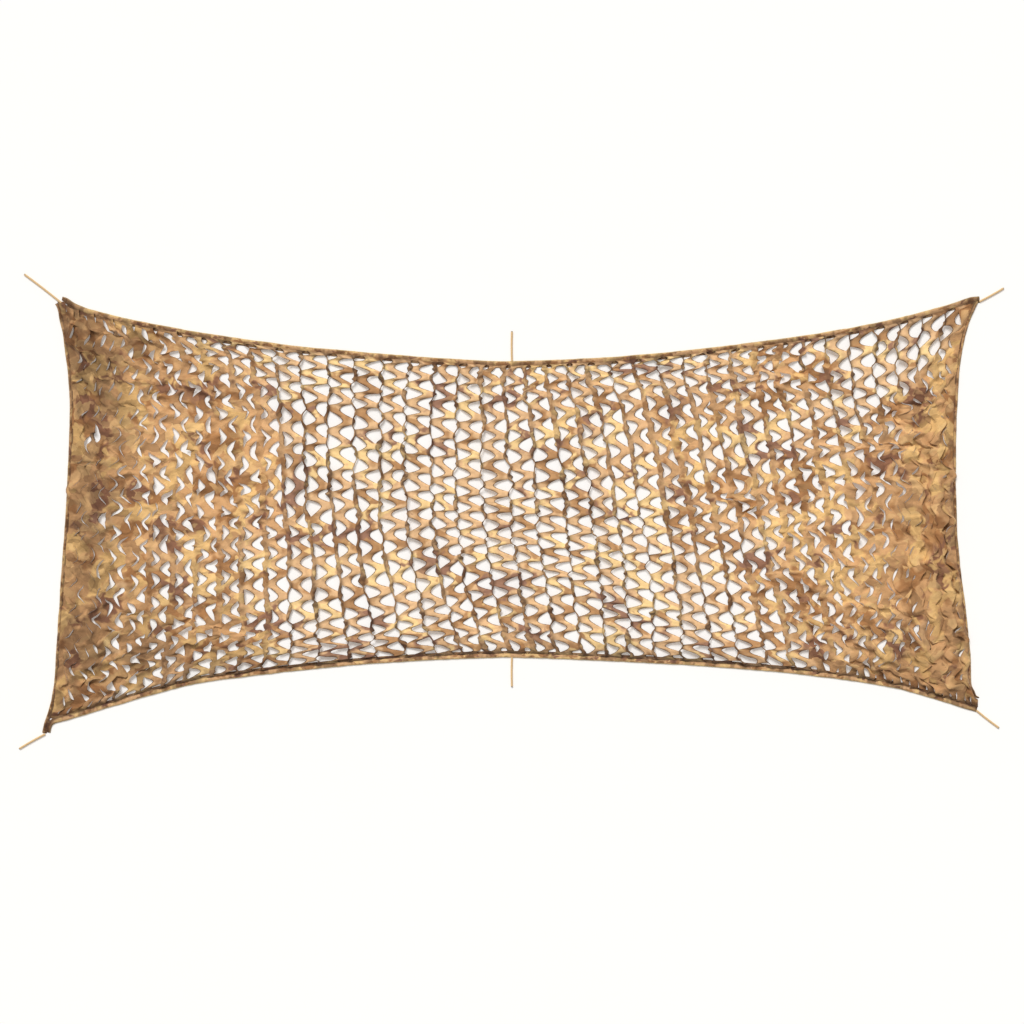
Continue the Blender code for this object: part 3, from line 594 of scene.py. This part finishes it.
def net_material():
    t = Tree("net_cloth_print")
    at = t.attribute("cloth").outputs["Vector"]
    colour = camouflage(t, at)
    # uneven dye and small creases
    mottle = t.ramp(t.noise(at, 55, 3.0, 0.6), 0.25, 0.75, 0.90, 1.08)
    grain = t.ramp(t.noise(at, 700, 1.0, 0.5), 0.2, 0.8, 0.94, 1.05)
    value = t.math("MULTIPLY", mottle, grain)
    tone = t.add("ShaderNodeCombineColor")
    for socket in ("Red", "Green", "Blue"):
        t.put(value, tone.inputs[socket])
    colour = t.mix(1.0, colour, tone.outputs[0], "MULTIPLY")
    # painted shade: the slack sides are darkened, as if the light came through only the cloth that is drawn open; the
    # slack and the drawn-open cloth also each get a tint of their own
    spread = t.attribute("spread").outputs["Fac"]
    colour = t.mix(t.ramp(spread, 0.0, 0.8, 0.36, 0.0), colour, t.mix(0.4, DARK, colour))
    colour = t.mix(t.ramp(spread, 0.05, 0.8, 0.9, 0.0), colour, (1.05, 0.97, 0.85, 1.0), "MULTIPLY")
    colour = t.mix(t.ramp(spread, 0.3, 1.0, 0.0, 1.0), colour, (1.01, 1.06, 1.11, 1.0), "MULTIPLY")
    # painted light and shade: each slack leaf of cloth is made darker or lighter in patches, as if it lay at its own
    # angle to the light
    leaves = t.add("ShaderNodeTexVoronoi", feature="F1")
    ragged = t.add("ShaderNodeVectorMath", operation="ADD")
    t.put(t.mapped(at, scale=(30, 42, 1), turn=0.6), ragged.inputs[0])
    waver = t.add("ShaderNodeTexNoise")
    t.put(at, waver.inputs["Vector"])
    waver.inputs["Scale"].default_value = 45
    waver.inputs["Detail"].default_value = 2.0
    t.put(waver.outputs["Color"], ragged.inputs[1])
    t.put(ragged.outputs[0], leaves.inputs["Vector"])
    leaves.inputs["Scale"].default_value = 1.0
    facet_light_and_shade = t.add("ShaderNodeSeparateColor")
    t.put(leaves.outputs["Color"], facet_light_and_shade.inputs[0])
    slack = t.ramp(spread, 0.1, 0.9, 1.0, 0.25)
    # painted shade on the leaves that face away from the light
    colour = t.mix(t.math("MULTIPLY", t.ramp(facet_light_and_shade.outputs[0], 0.35, 1.0, 0.0, 0.52), slack), colour, t.mix(0.3, DARK, colour))
    # painted highlight: the lit leaves are lightened towards ochre
    colour = t.mix(t.math("MULTIPLY", t.ramp(facet_light_and_shade.outputs[1], 0.6, 1.0, 0.0, 0.42), slack), colour, OCHRE)
    # painted shade: the SHADES spots and the bottom rows are darkened
    shade = t.math("MULTIPLY", t.attribute("shade").outputs["Fac"], t.ramp(t.noise(at, 20, 3.0, 0.6, 0.6), 0.32, 0.58, 0.5, 1.25))
    colour = t.mix(shade, colour, t.mix(0.35, DARK, colour))
    # painted shade: the underside of each bend, and the bunched cloth at the hems, are darkened as they lie in shade
    underside_shade = t.attribute("underside_shade").outputs["Fac"]
    colour = t.mix(t.ramp(underside_shade, 0.35, 1.0, 0.0, 0.72), colour, DARK)
    hem = t.math("ADD", t.attribute("hem").outputs["Fac"], t.ramp(t.noise(at, 60, 2.0), 0.3, 0.7, -0.3, 0.3))
    colour = t.mix(t.ramp(hem, 0.25, 1.1, 0.0, 0.62), colour, DARK)
    # painted shade: strips that stand on edge are darkened, as they lie in shade
    turned = t.attribute("turned").outputs["Fac"]
    edge_on_shade = t.math("MULTIPLY", turned, t.ramp(t.noise(at, 26, 2.0, 0.6), 0.36, 0.62, 0.45, 0.97))
    colour = t.mix(edge_on_shade, colour, t.mix(0.08, DARK, colour))
    # the heat-cut edges are darker and a little frayed, and the dark band also stands in for the shade along the cut
    # edges (painted shade)
    edge = t.attribute("edge").outputs["Fac"]
    frayed_edge_and_shade = t.math("ADD", edge, t.ramp(t.noise(at, 260, 2.0), 0.3, 0.7, -0.22, 0.22))
    colour = t.mix(t.math("MULTIPLY", t.ramp(frayed_edge_and_shade, 0.38, 0.92, 0.0, 0.88), t.ramp(spread, 0.0, 0.6, 0.3, 1.0)), colour, DARK)
    t.put(colour, t.shader.inputs["Base Color"])
    t.put(t.ramp(t.noise(at, 90, 3.0), 0.3, 0.7, 0.74, 0.9), t.shader.inputs["Roughness"])
    t.shader.inputs["Sheen Weight"].default_value = 0.12
    t.shader.inputs["Sheen Roughness"].default_value = 0.5
    t.shader.inputs["Specular IOR Level"].default_value = 0.25
    threads = t.math("ADD", t.wave(at, 190, "X", 0.4), t.wave(at, 190, "Y", 0.4))
    fine = t.bump(threads, 0.16, 0.0004)
    creases = t.bump(t.noise(at, 42, 4.0, 0.62, 0.5), t.ramp(spread, 0.1, 0.9, 0.85, 0.38), 0.004, fine)
    t.put(creases, t.shader.inputs["Normal"])
    return t.material


def binding_material():
    t = Tree("binding_tape")
    at = t.attribute("tape").outputs["Vector"]          # metres along, metres across, 0 outside and 1 inside
    colour = camouflage(t, t.mapped(at, scale=(1.0, 1.6, 0.0)), 2.8)
    colour = t.mix(0.3, colour, DARK)
    colour = t.mix(t.ramp(t.noise(t.mapped(at, scale=(1.0, 0.5, 0.0), shift=(4.4, 0, 0)), 24, 2.0, 0.55), 0.47, 0.56, 0.0, 0.5), colour, DARK)
    across = t.attribute("across").outputs["Fac"]
    # painted highlight on the fold, which catches the light, and painted shade on the sewn inner edge, which is pulled
    # in
    colour = t.mix(t.ramp(across, 0.0, 0.2, 0.7, 0.0), colour, linear(206, 182, 124))
    colour = t.mix(t.ramp(across, 0.5, 0.72, 0.0, 0.6), colour, DARK)
    colour = t.mix(t.attribute("corner").outputs["Fac"], colour, t.mix(0.3, DARK, colour))
    wear = t.ramp(t.noise(at, 120, 4.0, 0.65), 0.3, 0.72, 0.84, 1.1)
    tone = t.add("ShaderNodeCombineColor")
    for socket in ("Red", "Green", "Blue"):
        t.put(wear, tone.inputs[socket])
    colour = t.mix(1.0, colour, tone.outputs[0], "MULTIPLY")
    t.put(colour, t.shader.inputs["Base Color"])
    t.put(t.ramp(t.noise(at, 150, 3.0), 0.3, 0.7, 0.7, 0.88), t.shader.inputs["Roughness"])
    t.shader.inputs["Sheen Weight"].default_value = 0.1
    t.shader.inputs["Specular IOR Level"].default_value = 0.25
    threads = t.math("ADD", t.wave(at, 240, "X", 0.3), t.wave(at, 240, "Y", 0.3))
    fine = t.bump(threads, 0.2, 0.0004)
    t.put(t.bump(t.noise(at, 95, 3.0, 0.6), 0.35, 0.0016, fine), t.shader.inputs["Normal"])
    return t.material


def cord_material():
    t = Tree("tie_braid")
    at = t.attribute("cord").outputs["Vector"]          # metres along, turns around, 0
    tip = t.attribute("tip").outputs["Fac"]
    strands = t.attribute("strand").outputs["Fac"]
    # painted shade and highlight: the braid is darker down between the strands and lighter on their crowns
    colour = t.mix(t.ramp(strands, 0.1, 0.75), linear(150, 112, 70), linear(222, 186, 134))
    fleck = t.ramp(t.noise(t.mapped(at, scale=(260, 6, 1)), 1.0, 3.0, 0.6), 0.35, 0.7)
    colour = t.mix(t.math("MULTIPLY", fleck, 0.35), colour, linear(236, 208, 160))
    colour = t.mix(t.ramp(tip, 0.55, 0.95, 0.0, 0.85), colour, linear(86, 80, 72))
    t.put(colour, t.shader.inputs["Base Color"])
    t.put(t.ramp(t.noise(at, 300, 2.0), 0.3, 0.7, 0.62, 0.85), t.shader.inputs["Roughness"])
    t.shader.inputs["Sheen Weight"].default_value = 0.15
    fibres = t.noise(t.mapped(at, scale=(900, 30, 1)), 1.0, 2.0, 0.6)
    t.put(t.bump(fibres, 0.35, 0.0003), t.shader.inputs["Normal"])
    return t.material


def thread_material():
    t = Tree("seam_thread")
    at = t.add("ShaderNodeTexCoord").outputs["Object"]
    colour = t.mix(t.ramp(t.noise(at, 400, 2.0), 0.35, 0.65), linear(88, 66, 44), linear(140, 110, 74))
    t.put(colour, t.shader.inputs["Base Color"])
    t.put(t.ramp(t.noise(at, 900, 2.0), 0.3, 0.7, 0.5, 0.75), t.shader.inputs["Roughness"])
    t.put(t.bump(t.noise(at, 2500, 1.0), 0.3, 0.0002), t.shader.inputs["Normal"])
    return t.material


def floor_material():
    t = Tree("floor")
    at = t.add("ShaderNodeTexCoord").outputs["Object"]
    t.put(t.mix(t.noise(at, 1.2, 2.0), (0.75, 0.755, 0.76, 1), (0.735, 0.74, 0.745, 1)), t.shader.inputs["Base Color"])
    t.put(t.ramp(t.noise(at, 40, 3.0), 0.3, 0.7, 0.75, 0.9), t.shader.inputs["Roughness"])
    t.shader.inputs["Specular IOR Level"].default_value = 0.1
    # painted light: the floor glows faintly warm white, which lifts the shadows the net casts on it
    t.shader.inputs["Emission Color"].default_value = (1.0, 0.9, 0.8, 1.0)
    t.shader.inputs["Emission Strength"].default_value = 0.21
    t.put(t.bump(t.noise(at, 900, 2.0), 0.05, 0.0003), t.shader.inputs["Normal"])
    return t.material


# ======================================================================================
# Mesh helpers
# ======================================================================================
def new_mesh(name, points, quads, material, smooth=True):
    """Object from arrays of points in mm and of quads."""
    mesh = bpy.data.meshes.new(name)
    points = np.asarray(points, np.float32) * F(MM)
    quads = np.asarray(quads, np.int32)
    mesh.vertices.add(len(points))
    mesh.vertices.foreach_set("co", points.ravel())
    mesh.loops.add(quads.size)
    mesh.loops.foreach_set("vertex_index", quads.ravel())
    mesh.polygons.add(len(quads))
    mesh.polygons.foreach_set("loop_start", np.arange(0, quads.size, quads.shape[1], dtype=np.int32))
    mesh.polygons.foreach_set("loop_total", np.full(len(quads), quads.shape[1], np.int32))
    mesh.update(calc_edges=True)
    mesh.polygons.foreach_set("use_smooth", np.full(len(quads), smooth))
    mesh.materials.append(material)
    obj = bpy.data.objects.new(name, mesh)
    bpy.context.scene.collection.objects.link(obj)
    return obj


def give(obj, name, values, kind="FLOAT"):
    """Stores one value, or one vector, at each point of the mesh."""
    layer = obj.data.attributes.new(name, kind, "POINT")
    layer.data.foreach_set("value" if kind == "FLOAT" else "vector", np.asarray(values, np.float32).ravel())


def smooth_line(stations, step):
    """Points every step mm or so on the smooth curve through the stations (centripetal Catmull-Rom): x, y, share."""
    pts = np.array(stations, float)
    ends = np.vstack([2 * pts[0] - pts[1], pts, 2 * pts[-1] - pts[-2]])
    dense = []
    for i in range(1, len(ends) - 2):
        p0, p1, p2, p3 = ends[i - 1:i + 3]
        t0 = 0.0
        t1 = t0 + np.sqrt(np.linalg.norm((p1 - p0)[:2]))
        t2 = t1 + np.sqrt(np.linalg.norm((p2 - p1)[:2]))
        t3 = t2 + np.sqrt(np.linalg.norm((p3 - p2)[:2]))
        for t in np.linspace(t1, t2, 24, endpoint=False):
            a1 = (t1 - t) / (t1 - t0) * p0 + (t - t0) / (t1 - t0) * p1
            a2 = (t2 - t) / (t2 - t1) * p1 + (t - t1) / (t2 - t1) * p2
            a3 = (t3 - t) / (t3 - t2) * p2 + (t - t2) / (t3 - t2) * p3
            b1 = (t2 - t) / (t2 - t0) * a1 + (t - t0) / (t2 - t0) * a2
            b2 = (t3 - t) / (t3 - t1) * a2 + (t - t1) / (t3 - t1) * a3
            dense.append((t2 - t) / (t2 - t1) * b1 + (t - t1) / (t2 - t1) * b2)
    dense.append(pts[-1])
    dense = np.array(dense)
    run = np.concatenate([[0], np.cumsum(np.linalg.norm(np.diff(dense[:, :2], axis=0), axis=1))])
    at = np.linspace(0, run[-1], int(run[-1] / step) + 1)
    return np.stack([np.interp(at, run, dense[:, k]) for k in range(3)], axis=1), at


def inward(line):
    along = np.gradient(line[:, :2], axis=0)
    along /= np.linalg.norm(along, axis=1, keepdims=True)
    return np.stack([-along[:, 1], along[:, 0]], axis=1)


def wander(rng, run, spacing, size):
    """Smooth random values along a run, with a new one every spacing mm."""
    knots = rng.normal(0, size, int(run[-1] / spacing) + 3)
    f = run / spacing
    i = f.astype(int)
    f = f - i
    f = f * f * (3 - 2 * f)
    return knots[i] * (1 - f) + knots[i + 1] * f


# ======================================================================================
# The net
# ======================================================================================
def make_net(material):
    P, flat, bridge, turned, drawn = lay_out_net(steps=60)
    K, S1, J1 = P.shape[:3]
    index = np.arange(K * S1 * J1).reshape(K, S1, J1)
    for k in range(1, K):
        on = bridge[k - 1]
        index[k, 0, on] = index[k - 1, -1, on]
    used, index = np.unique(index, return_inverse=True)
    index = index.reshape(K, S1, J1)
    points = P.reshape(-1, 3)[used]
    cloth = flat.reshape(-1, 2)[used] * MM
    a, b, c, d = index[:, :-1, :-1], index[:, 1:, :-1], index[:, 1:, 1:], index[:, :-1, 1:]
    quads = np.stack([d, c, b, a], -1).reshape(-1, 4)
    obj = new_mesh("net_cloth", points, quads, material)
    give(obj, "cloth", np.c_[cloth, np.zeros(len(cloth))], "FLOAT_VECTOR")
    edge = np.zeros((K, S1, J1), np.float32)
    edge[:, 0], edge[:, -1] = 1, 1
    edge[0, 0], edge[-1, -1] = 0, 0
    joined = np.zeros((K + 1, J1), bool)
    joined[1:-1] = bridge
    edge[:, 0][joined[:-1]] = 0
    edge[:, -1][joined[1:]] = 0
    give(obj, "edge", edge.reshape(-1)[used])
    # painted shade: how strongly each point of a strip on edge is darkened
    on_edge = np.where(turned[:, None, None], drawn[:, None, :], 0) * np.ones((1, S1, 1))
    on_edge[:, 0][joined[:-1]] *= 0.5
    on_edge[:, -1][joined[1:]] *= 0.5
    give(obj, "turned", on_edge.reshape(-1)[used])
    s = np.linspace(0, 1, S1)[None, :, None]
    row = ROW_TOP + np.arange(J1) / STEP
    arm = np.sin(np.pi * row) ** 2
    climbing = (np.arange(J1) % (2 * STEP)) < STEP
    # painted shade along the lower edge of each arm of the wide strips
    underside_shade = np.where(climbing, 0.35 + 0.65 * s, 1 - s) * arm * drawn[:, None, :] ** 0.6 * np.where(turned, 0, 1)[:, None, None]
    give(obj, "underside_shade", underside_shade.reshape(-1)[used])
    from_hem = np.minimum(np.arange(J1), J1 - 1 - np.arange(J1)) / STEP
    # painted shade near the hems, where the cloth bunches
    give(obj, "hem", (np.clip(1 - from_hem / 0.9, 0, 1) * np.ones((K, S1, 1))).reshape(-1)[used])
    # painted shade at the SHADES spots
    shade = np.zeros(len(points))
    for x0, y0, wide, high, much in SHADES:
        shade = np.maximum(shade, much * np.exp(-((points[:, 0] - x0) / wide) ** 2 - ((points[:, 1] - y0) / high) ** 2))
    # painted shade along the bottom rows, where the cloth bunches
    low = ROWS - np.arange(J1) / STEP
    shade = np.maximum(shade, (0.7 * np.clip(1 - low / 2.8, 0, 1)[None, None] * np.ones((K, S1, 1))).reshape(-1)[used])
    give(obj, "shade", shade)
    give(obj, "spread", (drawn[:, None, :] * np.ones((1, S1, 1))).reshape(-1)[used])
    uv = obj.data.uv_layers.new(name="OFBake")
    place = np.c_[cloth[:, 0] / (RIBBONS * STRIP * MM), 1 + cloth[:, 1] / (ROWS * HALF_WAVE * MM)]
    uv.data.foreach_set("uv", place[quads.ravel()].astype(np.float32).ravel())
    return obj


# ======================================================================================
# Bindings
# ======================================================================================
TAPE = (
    # share of the width from the outer edge, mm up, 1 on the underside
    (0.10, 0.15), (0.03, 1.2), (0.00, 2.9), (0.03, 4.5), (0.11, 5.7), (0.22, 6.2), (0.34, 5.9), (0.44, 5.0), (0.53, 3.9), (0.62, 3.0),
    (0.72, 2.45), (0.80, 2.15), (0.87, 2.35), (0.95, 2.3), (1.00, 1.7), (1.00, 0.4), (0.70, 0.1), (0.35, 0.1),
)


def make_binding(name, stations, width, material, thread, seed):
    rng = np.random.default_rng(seed)
    line, run = smooth_line(stations, 5.0)
    side = inward(line)
    share = line[:, 2]
    n, m = len(line), len(TAPE)
    across = np.array([t[0] for t in TAPE])
    up = np.array([t[1] for t in TAPE])
    sway = wander(rng, run, 55, 0.5) + wander(rng, run, 14, 0.25)
    swell = 1 + wander(rng, run, 28, 0.07) + wander(rng, run, 11, 0.05)
    pucker = wander(rng, run, 9, 0.3)
    taper = np.clip(np.minimum(run, run[-1] - run) / 7, 0, 1) ** 0.5
    off = across[None] * width * share[:, None] + (sway * taper)[:, None] * np.clip(1 - across, 0, 1)[None] + pucker[:, None] * np.clip(across - 0.6, 0, 1)[None]
    height = up[None] * swell[:, None] * (0.45 + 0.55 * taper)[:, None]
    height = np.where(up[None] < 0.5, up[None], np.minimum(height, 7.4))
    x = line[:, :1] + side[:, :1] * off
    y = line[:, 1:2] + side[:, 1:] * off
    points = np.stack([x, y, height], -1)
    ids = np.arange(n * m).reshape(n, m)
    a, b = ids[:-1], ids[1:]
    quads = np.stack([a, b, np.roll(b, -1, 1), np.roll(a, -1, 1)], -1).reshape(-1, 4)
    # close the two cut ends with a strip of quads
    caps = []
    for row, flip in ((ids[0], False), (ids[-1], True)):
        for i in range(m // 2 - 1):
            q = [row[i], row[i + 1], row[m - 2 - i], row[m - 1 - i]]
            caps.append(q if flip else q[::-1])
    quads = np.vstack([quads, np.array(caps)])
    obj = new_mesh(name, points.reshape(-1, 3), quads, material)
    girth = np.concatenate([[0], np.cumsum(np.hypot(np.diff(across * width), np.diff(up)))])
    tape = np.stack([np.broadcast_to(run[:, None] + seed * 700.0, (n, m)), np.broadcast_to(girth[None], (n, m)), np.zeros((n, m))], -1)
    give(obj, "tape", tape.reshape(-1, 3) * MM, "FLOAT_VECTOR")
    give(obj, "across", np.broadcast_to(across[None], (n, m)).ravel())
    corner = np.maximum(0.75 * np.exp(-(np.minimum(run, run[-1] - run) / 75) ** 2), 0.3 if width < 0.8 * LONG_BINDING else 0.0)
    give(obj, "corner", np.broadcast_to(corner[:, None], (n, m)).ravel())
    # the seam: one short stitch after another along the inner flange
    pitch, long = 6.0, 4.3
    starts = np.arange(9.0, run[-1] - 9, pitch)
    ring = np.array([(math.cos(k * math.pi / 2.0), math.sin(k * math.pi / 2.0)) for k in range(4)])
    shape = ((-0.5, 0.0, 0.15), (-0.36, 0.42, 0.75), (0.0, 0.6, 1.0), (0.36, 0.42, 0.75), (0.5, 0.0, 0.15))
    pts, qs = [], []
    for k, s in enumerate(starts):
        i = s / run[-1] * (n - 1)
        j = min(int(i), n - 2)
        f = i - j
        p = line[j] * (1 - f) + line[j + 1] * f
        sd = side[j] * (1 - f) + side[j + 1] * f
        al = np.array([sd[1], -sd[0]])
        o = 0.81 * width * p[2] + (pucker[j] * 0.2) + rng.normal(0, 0.12)
        tilt = rng.normal(0, 0.05)
        base = len(pts)
        for along, high, fat in shape:
            for cx, cz in ring:
                q = p[:2] + al * long * along + sd * (o + long * along * tilt + cx * 0.5 * fat)
                pts.append((q[0], q[1], 2.15 + high * 0.5 + cz * 0.5 * fat))
        for r in range(len(shape) - 1):
            for c in range(4):
                qs.append((base + r * 4 + c, base + r * 4 + (c + 1) % 4, base + r * 4 + 4 + (c + 1) % 4, base + r * 4 + 4 + c))
    seam = new_mesh(name.replace("binding", "seam"), np.array(pts), np.array(qs), thread)
    return obj, seam


# ======================================================================================
# Tie cords
# ======================================================================================
def make_tie(name, start, end, tuck, material, seed):
    """A round braid of eight strands each way, with a heat-sealed tip."""
    rng = np.random.default_rng(seed)
    a, b = np.array(start, float), np.array(end, float)
    d = (b - a) / np.linalg.norm(b - a)
    a = a - tuck * d
    length = np.linalg.norm(b - a)
    s = np.array([-d[1], d[0]])
    n, m = int(length / 0.75), 32
    run = np.linspace(0, length, n + 1)
    bow = 0.9 * np.sin(np.pi * run / length) * rng.choice([-1, 1])
    around = np.arange(m) / m * 2 * np.pi
    lead = 17.0
    u = run[:, None] / lead * 2 * np.pi
    one, two = np.cos(4 * (around[None] + u)), np.cos(4 * (around[None] - u))
    strand = np.maximum(one, two)
    radius = 3.12 + 0.42 * strand
    tip = np.clip((run - (length - 9)) / 9, 0, 1)
    melt = np.clip((run - (length - 3.5)) / 3.5, 0, 1)
    radius = radius * (1 - melt)[:, None] + (3.0 * np.sqrt(np.clip(1 - melt ** 2 * 0.9, 0, 1)))[:, None] * melt[:, None]
    radius = radius * (1 + rng.normal(0, 0.012, radius.shape))
    cx = a[0] + d[0] * run + s[0] * bow
    cy = a[1] + d[1] * run + s[1] * bow
    z = TIE / 2 + radius * np.sin(around)[None]
    z = np.maximum(z, 0.12)
    x = cx[:, None] + s[0] * radius * np.cos(around)[None]
    y = cy[:, None] + s[1] * radius * np.cos(around)[None]
    points = np.stack([x, y, z], -1).reshape(-1, 3)
    ids = np.arange((n + 1) * m).reshape(n + 1, m)
    p, q = ids[:-1], ids[1:]
    quads = np.stack([p, np.roll(p, -1, 1), np.roll(q, -1, 1), q], -1).reshape(-1, 4)
    caps = []
    for row, flip in ((ids[0], True), (ids[-1], False)):
        for i in range(m // 2 - 1):
            c = [row[i], row[i + 1], row[m - 2 - i], row[m - 1 - i]]
            caps.append(c[::-1] if flip else c)
    quads = np.vstack([quads, np.array(caps)])
    obj = new_mesh(name, points, quads, material)
    give(obj, "cord", np.stack([np.broadcast_to(run[:, None] * MM, (n + 1, m)), np.broadcast_to(around[None] / (2 * np.pi), (n + 1, m)), np.zeros((n + 1, m))], -1), "FLOAT_VECTOR")
    give(obj, "strand", np.clip(0.5 + 0.5 * strand, 0, 1).ravel())
    give(obj, "tip", np.broadcast_to(tip[:, None], (n + 1, m)).ravel())
    path = [(float(cx[i]) * MM, float(cy[i]) * MM, TIE / 2 * MM) for i in np.linspace(0, n, 16).astype(int)]
    return obj, path, length


# ======================================================================================
# Assembly
# ======================================================================================
# How far each cord is tucked into its corner or under its binding, mm.
TUCKS = {"tie_top_left": 8.0, "tie_bottom_left": 4.0, "tie_top_right": 5.0, "tie_bottom_right": 3.0, "tie_top_middle": 2.0, "tie_bottom_middle": 2.5}

cord_look = cord_material()
for number, (name, x0, y0, x1, y1) in enumerate(TIES):
    tie, path, length = make_tie("cord_" + name[4:], (x0, y0), (x1, y1), TUCKS[name], cord_look, 60 + number)
    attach(tie, "root")
    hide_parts(name)

tape_look, thread_look = binding_material(), thread_material()
tapes = []
for number, (name, stations, width) in enumerate((("top", TOP_EDGE, LONG_BINDING), ("bottom", BOTTOM_EDGE, LONG_BINDING), ("left", LEFT_EDGE, SIDE_BINDING), ("right", RIGHT_EDGE, SIDE_BINDING))):
    tape, seam = make_binding("tape_binding_" + name, stations, width * (1.18 if width == LONG_BINDING else 1.1), tape_look, thread_look, 11 + number)
    for piece in (tape, seam):
        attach(piece, "root")
    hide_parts("binding_" + name)
    tapes += [tape, seam]

net = make_net(net_material())
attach(net, "root")
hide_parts("net_panel")

# ======================================================================================
# Floor and light
# ======================================================================================
floor = new_mesh("floor", [(-6000, -6000, 0), (6000, -6000, 0), (6000, 6000, 0), (-6000, 6000, 0)], [(0, 1, 2, 3)], floor_material(), smooth=False)

bpy.context.scene.view_settings.view_transform = "Standard"
world = bpy.data.worlds.new("studio")
world.use_nodes = True
world.node_tree.nodes["Background"].inputs["Color"].default_value = (1.0, 1.0, 1.0, 1.0)
world.node_tree.nodes["Background"].inputs["Strength"].default_value = 0.44
bpy.context.scene.world = world

key_data = bpy.data.lights.new("key", "SUN")
key_data.energy = 2.72
key_data.angle = math.radians(24)
key_data.color = (1.0, 0.985, 0.965)
key = bpy.data.objects.new("key", key_data)
key.rotation_euler = (math.radians(-38), math.radians(-14), 0.0)
bpy.context.scene.collection.objects.link(key)
